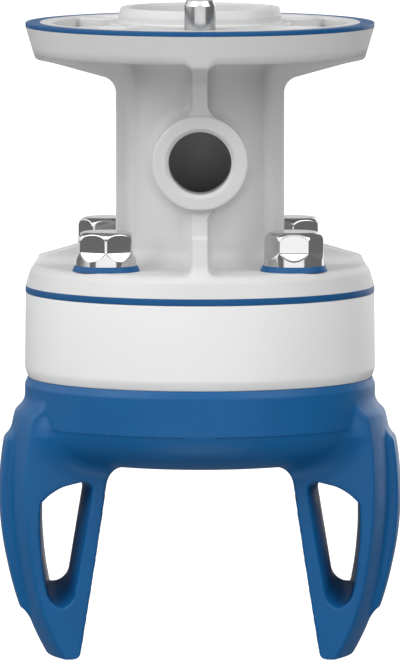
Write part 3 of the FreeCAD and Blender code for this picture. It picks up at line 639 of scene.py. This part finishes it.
def back_field(r, z):
    """Turned outer surface of a finger, from its root on the collar to its tip."""
    root = line_side(r, z, (36.45, -77.8), (35.85, -75.1))
    shoulder = line_side(r, z, (35.85, -75.1), (33.75, -73.0))
    return rounded(at_most(two_arcs(r, z, BACK_UPPER, BACK_LOWER), root), shoulder, 0.3)


def spine_field(r, y, z):
    """Raised band down the middle of a finger's back."""
    top = line_side(r, z, SPINE_UPPER[0], (36.65, -78.9))
    foot = line_side(r, z, (33.5, -114.3), (34.9, -113.1))
    outline = rounded(two_arcs(r, z, SPINE_UPPER, SPINE_LOWER), top, 0.25)
    outline = rounded(outline, foot, 0.1)
    return rounded(outline, abs(y) - SPINE_HALF, 0.7)


def window_field(x, y, z):
    """The opening through a finger, its floor ridged along the middle."""
    leg = GRIP_CURVE + GRIP_WALL - hollow_distance(x, y, z, WINDOW_EDGE, WINDOW_TILT)
    wall = inside_arc(x, z, *WINDOW_WALL)
    inner_roof = line_side(x, z, (28.4, -89.1), (23.7, -87.9))
    outer_roof = line_side(x, z, (31.3, -92.9), (29.8, -90.1))
    roof = rounded(inner_roof, outer_roof, 3.0)
    ridge = RIDGE_HEIGHT * np.maximum(1 - abs(y) / FINGER_HALF, 0)
    floor = (WINDOW_FLOOR + ridge - z) * RIDGE_COSINE
    return at_most(rounded(leg, roof, 2.6), rounded(leg, floor, 2.7),
                   rounded(wall, WINDOW_FOOT - z, 3.1), rounded(wall, roof, 0.2))


def finger_field(x, y, z, r):
    """A whole finger with its window, before it joins the collar."""
    grip = GRIP_CURVE - hollow_distance(x, y, z, GRIP_EDGE, GRIP_TILT)
    flank = abs(y) - half_width(z)
    back = fillet_union(back_field(r, z), spine_field(r, y, z), 0.8)
    back = rounded(rounded(back, FINGER_END - z, 0.35), flank, 0.4)
    solid = rounded(rounded(back, grip, 0.5), rounded(FINGER_END - z, grip, 1.5), 0.05)
    return carved(solid, window_field(x, y, z), 0.45)


def silicone_field(x, y, z):
    """The silicone moulding: collar, bowl, neck with its bead, and a finger on each side."""
    x = abs(x)
    r = np.hypot(x, y)
    cap = cap_field(r, z)
    finger = at_most(finger_field(x, y, z, r), FINGER_INNER_REACH - x)
    spread = np.clip((ROOT_TOP - z) / ROOT_FADE, 0, 1)
    body = fillet_union(cap, finger, ROOT_FILLET + ROOT_FILLET_GAIN * spread)
    neck = at_most(r - NECK_RADIUS, z - NECK_TOP, NECK_FOOT - z)
    bead = at_most(r - BEAD_RADIUS, z - NECK_TOP, BEAD_FOOT - z)
    body = any_of(body, neck, bead)
    chamber = at_most(cap + SKIN, r - CHAMBER_RADIUS, z - CHAMBER_TOP)
    mouth = at_most(r - MOUTH_RADIUS, MOUTH_FOOT - z)
    return at_most(body, -any_of(chamber, mouth))


def tongue_field(x, y, z):
    """A strip just under the bowl's skin, which covers the cut at a finger's root as it swings."""
    reach = abs(x - CUT_REACH) - TONGUE_REACH
    return at_most(silicone_field(x, y, z) + TONGUE_INSET, reach, z - FLEX_TOP, TONGUE_BOTTOM - z)


def make_silicone():
    """Collar with bowl in the middle, and one finger with its share of the bowl on each side."""
    whole = new_mesh("silicone", *polygonise(silicone_field, *SILICONE_BOX, BODY_STEP))
    centre_half = cut_mesh(whole, [((CUT_REACH, 0, 0), (1, 0, 0))])
    centre_mesh = cut_mesh(centre_half, [((0, 0, 0), (-1, 0, 0))], mirror=True, close=False)
    tongue = new_mesh("tongue", *polygonise(tongue_field, *TONGUE_BOX, BODY_STEP))
    centre_mesh = joined_mesh("silicone_centre", (centre_mesh, tongue, mirrored_mesh(tongue)))
    right_mesh = cut_mesh(whole, [((CUT_REACH, 0, 0), (-1, 0, 0))])
    left_mesh = mirrored_mesh(right_mesh)
    made = []
    for name, mesh, body, nodes in (
            ("silicone_collar_and_bowl", centre_mesh, "diaphragm", ("silicone_collar", "bowl_membrane")),
            ("silicone_finger_left", left_mesh, "finger_left", ("finger_left",)),
            ("silicone_finger_right", right_mesh, "finger_right", ("finger_right",))):
        shade(mesh, silicone_field)
        piece = place(name, mesh)
        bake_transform(piece)
        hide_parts(*nodes)
        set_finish(piece, "silicone")
        made.append(piece)
    return made


# ------------------------------------------------------------------ bolts, rings, seals, pin

BOLT_SEAT = -45.6
BOLT_TOP = -39.1
BOLT_RADIUS = 5.68
FLAT_REACH = 5.0
FLAT_FOOT = -43.0
RAMP_SLOPE = 1.9
HEAD_ROUND = 1.74
FLARE_SLOPE = 0.06
SHANK_RADIUS = 2.95
SHANK_END = -57.6
BOLT_BOX = ((-6.5, -6.5, -58.5), (6.5, 6.5, -38))
# Each bolt's side in x, its side in y, and how far its head is turned, in degrees.
BOLTS = {"front_left": (-1, -1, 0.0), "front_right": (1, -1, 30.0),
         "rear_left": (-1, 1, 30.0), "rear_right": (1, 1, 0.0)}
# Outlines of the turned pieces: radius, height, and the round of that corner.
SEAL_FOOT = -52.15
CLAMP_BORE = 29.8
FLANGE_SEAL = [(SEAL_STEP_RADIUS, 0.0, 0.12), (33.7, 0.0, 0.2), (33.7, SEAL_STEP_FLOOR, 0.12),
               (SEAL_STEP_RADIUS, SEAL_STEP_FLOOR, 0)]
HOUSING_SEAL = [(CLAMP_BORE, DISC_BOTTOM, 0), (33.73, DISC_BOTTOM, 0.15), (33.73, SEAL_FOOT, 0.15),
                (CLAMP_BORE, SEAL_FOOT, 0)]
BOLT_SEAL = [(3.2, BOLT_SEAT, 0), (5.98, BOLT_SEAT, 0.12), (6.5, -46.6, 0.08), (6.48, DISC_FLOOR, 0),
             (3.2, DISC_FLOOR, 0)]
CLAMP_RING = [(20.6, DISC_BOTTOM, 0.2), (CLAMP_BORE, DISC_BOTTOM, 0.1), (CLAMP_BORE, SEAL_FOOT, 0),
              (33.7, SEAL_FOOT, 0.3), (33.87, -66.9, 3.0), (33.2, -68.6, 0.35), (27.4, -68.6, 0.2),
              (27.4, -64.6, 0.1), (30.4, -64.6, 0.1), (30.4, -61.0, 0.1), (18.4, -61.0, 0.1),
              (18.4, -58.0, 0.1), (20.6, -58.0, 0.1)]
LOCATING_PIN = [(0.0, PIN_FOOT, 0), (2.5, PIN_FOOT, 0.3), (2.5, 0.0, 0), (3.0, 0.0, 0.05),
                (3.0, 4.6, 0.15), (2.55, 5.7, 0.1), (0.0, 5.7, 0)]


def bolt_field(x, y, z):
    """Round domed head with six milled flats, each ending in a steep ramp above the seat."""
    r = np.hypot(x, y)
    flare = FLARE_SLOPE * np.maximum(FLAT_FOOT - z, 0)
    head = at_most(rounded(r - BOLT_RADIUS - flare, z - BOLT_TOP, HEAD_ROUND), BOLT_SEAT - z)
    for number in range(3):
        angle = math.radians(60 * number)
        out = abs(x * math.cos(angle) + y * math.sin(angle)) - FLAT_REACH
        ramp = (FLAT_FOOT - RAMP_SLOPE * out - z) / math.hypot(1, RAMP_SLOPE)
        head = carved(head, rounded(-out, ramp, 0.02), 0.09)
    shank = at_most(rounded(r - SHANK_RADIUS, SHANK_END - z, 0.5), z - BOLT_SEAT - 1.0)
    return any_of(head, shank)


def make_bolts():
    """The four bolts, each a turned copy of one mesh."""
    mesh = new_mesh("bolt", *polygonise(bolt_field, *BOLT_BOX, BOLT_STEP))
    shade(mesh, bolt_field)
    made = []
    for name, (side, front, turn) in BOLTS.items():
        piece = place("hex_bolt_" + name, mesh.copy())
        spot = Matrix.Translation(Vector((BOLT_OFFSET * side, BOLT_OFFSET * front, 0)) * MM)
        piece.data.transform(spot @ Matrix.Rotation(math.radians(turn), 4, "Z"))
        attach(piece, "housing")
        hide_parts("bolt_" + name)
        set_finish(piece, "polished_steel")
        made.append(piece)
    return made


def make_seals():
    """The flange seal, the housing seal and the four bolt seals."""
    made = [turned("flange_seal_ring", FLANGE_SEAL), turned("housing_seal_ring", HOUSING_SEAL)]
    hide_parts("flange_seal")
    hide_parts("housing_seal")
    for name, (side, front, _) in BOLTS.items():
        centre = (BOLT_OFFSET * side, BOLT_OFFSET * front)
        ring = turned("seal_washer_" + name, BOLT_SEAL, segments=96, centre=centre)
        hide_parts("bolt_seal_" + name)
        made.append(ring)
    for ring in made:
        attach(ring, "housing")
        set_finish(ring, "seal_rubber")
    return made


def make_clamp_ring():
    """The white ring between the adapter and the silicone, with the groove for the bead."""
    ring = turned("clamp_ring_moulding", CLAMP_RING, segments=256, steps=5)
    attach(ring, "housing")
    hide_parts("clamp_ring")
    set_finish(ring, "ring_plastic")
    return ring


def make_pin():
    """The steel pin that stands in the flange."""
    pin = turned("locating_pin_ground", LOCATING_PIN, segments=96, centre=(0.0, -PITCH_RADIUS))
    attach(pin, "housing")
    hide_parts("locating_pin")
    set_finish(pin, "polished_steel")
    return pin


# ------------------------------------------------------------------ materials

NOISE_LOW = 0.3
NOISE_HIGH = 0.7
# How high a surface's finest texture stands, in metres.
PLASTIC_GRAIN = 0.00003
RUBBER_GRAIN = 0.00004
METAL_GRAIN = 0.00001
TURNED_MARKS = 2600.0
WHITE = (1.0, 1.0, 1.0, 1)
# Pieces whose material isn't the one named by their slot.
SPECIAL_FINISH = {"locating_pin_ground": "ground_steel"}


def grey(level):
    """A grey of that linear level."""
    return (level, level, level)


def new_material(name):
    """A material with its node tree and its shader."""
    material = bpy.data.materials.new(name)
    material.use_nodes = True
    tree = material.node_tree
    return material, tree, tree.nodes["Principled BSDF"]


def noise(tree, scale, detail):
    """The value of a noise texture in object space, with about that many cells to a metre."""
    node = tree.nodes.new("ShaderNodeTexNoise")
    node.inputs["Scale"].default_value = scale
    node.inputs["Detail"].default_value = detail
    coordinates = tree.nodes.get("Texture Coordinate") or tree.nodes.new("ShaderNodeTexCoord")
    coordinates.name = "Texture Coordinate"
    tree.links.new(coordinates.outputs["Object"], node.inputs["Vector"])
    return node.outputs["Fac"]


def spread(tree, source, low, high):
    """Map a noise's values, most of which lie near the middle, onto a range."""
    node = tree.nodes.new("ShaderNodeMapRange")
    node.inputs["From Min"].default_value = NOISE_LOW
    node.inputs["From Max"].default_value = NOISE_HIGH
    node.inputs["To Min"].default_value = low
    node.inputs["To Max"].default_value = high
    tree.links.new(source, node.inputs["Value"])
    return node.outputs["Result"]


def mix_colours(tree, factor, first, second):
    """A colour between two, by a factor."""
    node = tree.nodes.new("ShaderNodeMix")
    node.data_type = "RGBA"
    node.inputs["A"].default_value = (*first, 1)
    node.inputs["B"].default_value = (*second, 1)
    tree.links.new(factor, node.inputs["Factor"])
    return node.outputs["Result"]


def bump(tree, shader, layers, distance):
    """Stack height layers of (output, strength) into the shader's normal."""
    previous = None
    for height, strength in layers:
        node = tree.nodes.new("ShaderNodeBump")
        node.inputs["Strength"].default_value = strength
        node.inputs["Distance"].default_value = distance
        tree.links.new(height, node.inputs["Height"])
        if previous:
            tree.links.new(previous, node.inputs["Normal"])
        previous = node.outputs["Normal"]
    tree.links.new(previous, shader.inputs["Normal"])


def plastic(name, light, dark, roughness, grain):
    """Satin moulded plastic with fine grain and faint flow marks."""
    material, tree, shader = new_material(name)
    cloud = noise(tree, 60.0, 3.0)
    fine = noise(tree, 4200.0, 2.0)
    colour = mix_colours(tree, spread(tree, cloud, 0, 1), light, dark)
    tree.links.new(colour, shader.inputs["Base Color"])
    rough = noise(tree, 900.0, 3.0)
    gloss = spread(tree, rough, roughness - 0.05, roughness + 0.06)
    tree.links.new(gloss, shader.inputs["Roughness"])
    bump(tree, shader, [(fine, grain)], PLASTIC_GRAIN)
    shader.inputs["Specular IOR Level"].default_value = 0.5
    shader.inputs["Subsurface Weight"].default_value = 0.03
    shader.inputs["Subsurface Radius"].default_value = (0.0016, 0.0014, 0.0012)
    return material


def rubber(name, light, dark, roughness, depth):
    """Moulded silicone: soft, slightly cloudy, with a fine matt skin."""
    material, tree, shader = new_material(name)
    cloud = noise(tree, 90.0, 4.0)
    fine = noise(tree, 3600.0, 3.0)
    wide = noise(tree, 260.0, 2.0)
    colour = mix_colours(tree, spread(tree, cloud, 0, 1), light, dark)
    tree.links.new(colour, shader.inputs["Base Color"])
    gloss = spread(tree, wide, roughness - 0.04, roughness + 0.05)
    tree.links.new(gloss, shader.inputs["Roughness"])
    bump(tree, shader, [(fine, 0.16), (wide, 0.1)], RUBBER_GRAIN)
    shader.inputs["Subsurface Weight"].default_value = depth
    shader.inputs["Subsurface Radius"].default_value = (0.0006, 0.0012, 0.0022)
    shader.inputs["Specular IOR Level"].default_value = 0.25
    return material


def metal(name, colour, roughness, scratch, mark_scale=1500.0):
    """Polished or turned metal with faint marks."""
    material, tree, shader = new_material(name)
    shader.inputs["Metallic"].default_value = 1.0
    shader.inputs["Base Color"].default_value = (*colour, 1)
    marks = noise(tree, mark_scale, 4.0)
    smudge = noise(tree, 240.0, 3.0)
    gloss = spread(tree, smudge, roughness * 0.8, roughness * 1.35)
    tree.links.new(gloss, shader.inputs["Roughness"])
    bump(tree, shader, [(marks, scratch)], METAL_GRAIN)
    return material


def make_materials():
    """Every material, by its slot's name."""
    return {
        # The housing's grey is set darker than the ring's. A little of that is its own slightly greyer
        # tone; the rest is painted shade: with less light bouncing about, the shade under the flange and
        # round the column deepens.
        "housing_plastic": plastic("housing_plastic", grey(0.60), grey(0.58), 0.45, 0.22),
        "ring_plastic": plastic("ring_plastic", grey(0.73), grey(0.71), 0.40, 0.12),
        # The seal rubber is the silicone's blue set darker, though both are the same rubber: painted
        # shade, standing in for the shade the washers get round the bolt heads.
        "seal_rubber": rubber("seal_rubber", (0.003, 0.078, 0.222), (0.003, 0.070, 0.204), 0.45, 0.02),
        "silicone": rubber("silicone", (0.003, 0.095, 0.268), (0.003, 0.086, 0.248), 0.42, 0.03),
        "polished_steel": metal("polished_steel", grey(0.62), 0.11, 0.04),
        "ground_steel": metal("ground_steel", grey(0.50), 0.20, 0.12),
        "plate_aluminium": metal("plate_aluminium", (0.78, 0.79, 0.80), 0.32, 0.2, TURNED_MARKS),
        "insert_brass": metal("insert_brass", (0.76, 0.58, 0.30), 0.28, 0.2, TURNED_MARKS),
    }


def dress(pieces, materials):
    """Put each piece's material on it; CAD nodes that stay visible take theirs from the record."""
    for piece in pieces:
        finish = SPECIAL_FINISH.get(piece.name, piece["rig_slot"])
        piece.data.materials.clear()
        piece.data.materials.append(materials[finish])
    slots = {row["node"]: row["material_slot"] for row in frame["record"]["subparts"]}
    for node, thing in frame["nodes"].items():
        if thing.hide_render:
            continue
        thing.data.materials.clear()
        thing.data.materials.append(materials[slots[node]])


# ------------------------------------------------------------------ studio

# Lengths here are in metres, but the sensor's is in millimetres.
TARGET = Vector((0.0, 0.0, -0.0597))
CAMERA_DISTANCE = 2.1
CAMERA_RISE = 0.1877
SENSOR = 36.0
PIXELS_TALL = 660
FOCAL_PIXELS = 10900.0
FLOOR_HALF = 14.0
FLOOR_LEVEL = -4.0
LIGHT_DISTANCE = 1.6
WORLD_LIGHT = 0.2
BACKDROP_LIGHT = 1.25
# Name, azimuth and elevation, width and height as seen from the object, all in degrees, then W/m2.
SOFT_BOXES = [
    ("top", 0.0, 58.0, 130.0, 44.0, 6.2),
    ("key_left", -50.0, 28.0, 36.0, 34.0, 0.85),
    ("fill_right", 50.0, 28.0, 36.0, 34.0, 0.7),
    ("rim_left", -97.0, 20.0, 66.0, 38.0, 1.2),
    ("rim_right", 150.0, 10.0, 36.0, 36.0, 0.5),
    ("front_card", 0.0, -5.0, 78.0, 24.0, 0.85),
    ("back_card", 180.0, 12.0, 60.0, 30.0, 0.3),
    ("under", 0.0, -60.0, 36.0, 36.0, 0.7),
]


def make_camera():
    """A long lens a little above the object, in front of its port."""
    data = bpy.data.cameras.new("camera")
    data.sensor_width = SENSOR
    data.sensor_fit = "AUTO"
    data.lens = FOCAL_PIXELS * SENSOR / PIXELS_TALL
    data.clip_start = 0.1
    data.clip_end = 50.0
    camera = bpy.data.objects.new("camera", data)
    camera.location = TARGET + Vector((0.0, -CAMERA_DISTANCE, CAMERA_RISE))
    camera.rotation_euler = (TARGET - camera.location).to_track_quat("-Z", "Y").to_euler()
    bpy.context.scene.collection.objects.link(camera)
    bpy.context.scene.camera = camera


def make_floor():
    """A pale floor far below, since the gripper hangs from a robot's arm. It doesn't light the object."""
    mesh = bpy.data.meshes.new("floor")
    signs = ((-1, -1), (1, -1), (1, 1), (-1, 1))
    corners = [(across * FLOOR_HALF, back * FLOOR_HALF, FLOOR_LEVEL) for across, back in signs]
    mesh.from_pydata(corners, [], [(0, 1, 2, 3)])
    floor = place("studio_floor", mesh)
    material, tree, shader = new_material("studio_floor")
    tone = mix_colours(tree, noise(tree, 3.0, 2.0), grey(0.90), grey(0.92))
    tree.links.new(tone, shader.inputs["Base Color"])
    shader.inputs["Roughness"].default_value = 0.8
    shader.inputs["Emission Color"].default_value = WHITE
    shader.inputs["Emission Strength"].default_value = BACKDROP_LIGHT
    mesh.materials.append(material)
    floor.visible_diffuse = False
    floor.visible_glossy = False
    floor.visible_shadow = False


def soft_box(name, azimuth, elevation, wide, tall, strength):
    """A soft box that looks at the object: its direction and size in degrees, its irradiance in W/m2."""
    turn = math.radians(azimuth)
    rise = math.radians(elevation)
    level = math.cos(rise)
    direction = Vector((math.sin(turn) * level, -math.cos(turn) * level, math.sin(rise)))
    data = bpy.data.lights.new(name, "AREA")
    data.shape = "RECTANGLE"
    data.size = 2 * LIGHT_DISTANCE * math.tan(math.radians(wide / 2))
    data.size_y = 2 * LIGHT_DISTANCE * math.tan(math.radians(tall / 2))
    data.energy = strength * math.pi * LIGHT_DISTANCE ** 2
    light = bpy.data.objects.new(name, data)
    light.location = TARGET + direction * LIGHT_DISTANCE
    light.rotation_euler = (-direction).to_track_quat("-Z", "Y").to_euler()
    light.visible_camera = False
    bpy.context.scene.collection.objects.link(light)


def make_world():
    """A world that lights the object dimly and evenly, and shows as a pale backdrop."""
    world = bpy.data.worlds.new("studio")
    world.use_nodes = True
    tree = world.node_tree
    light = tree.nodes["Background"]
    light.inputs["Color"].default_value = WHITE
    light.inputs["Strength"].default_value = WORLD_LIGHT
    backdrop = tree.nodes.new("ShaderNodeBackground")
    backdrop.inputs["Color"].default_value = WHITE
    backdrop.inputs["Strength"].default_value = BACKDROP_LIGHT
    path = tree.nodes.new("ShaderNodeLightPath")
    choice = tree.nodes.new("ShaderNodeMixShader")
    tree.links.new(path.outputs["Is Camera Ray"], choice.inputs["Fac"])
    tree.links.new(light.outputs["Background"], choice.inputs[1])
    tree.links.new(backdrop.outputs["Background"], choice.inputs[2])
    tree.links.new(choice.outputs["Shader"], tree.nodes["World Output"].inputs["Surface"])
    return world


def make_lights():
    """The soft boxes and the world, with colours shown as they are."""
    for box in SOFT_BOXES:
        soft_box(*box)
    bpy.context.scene.world = make_world()
    bpy.context.scene.view_settings.view_transform = "Standard"


# ------------------------------------------------------------------ assembly

pieces = [make_adapter(), make_clamp_ring(), make_pin()]
pieces += make_silicone()
pieces += make_bolts()
pieces += make_seals()
dress(pieces, make_materials())
make_camera()
make_floor()
make_lights()
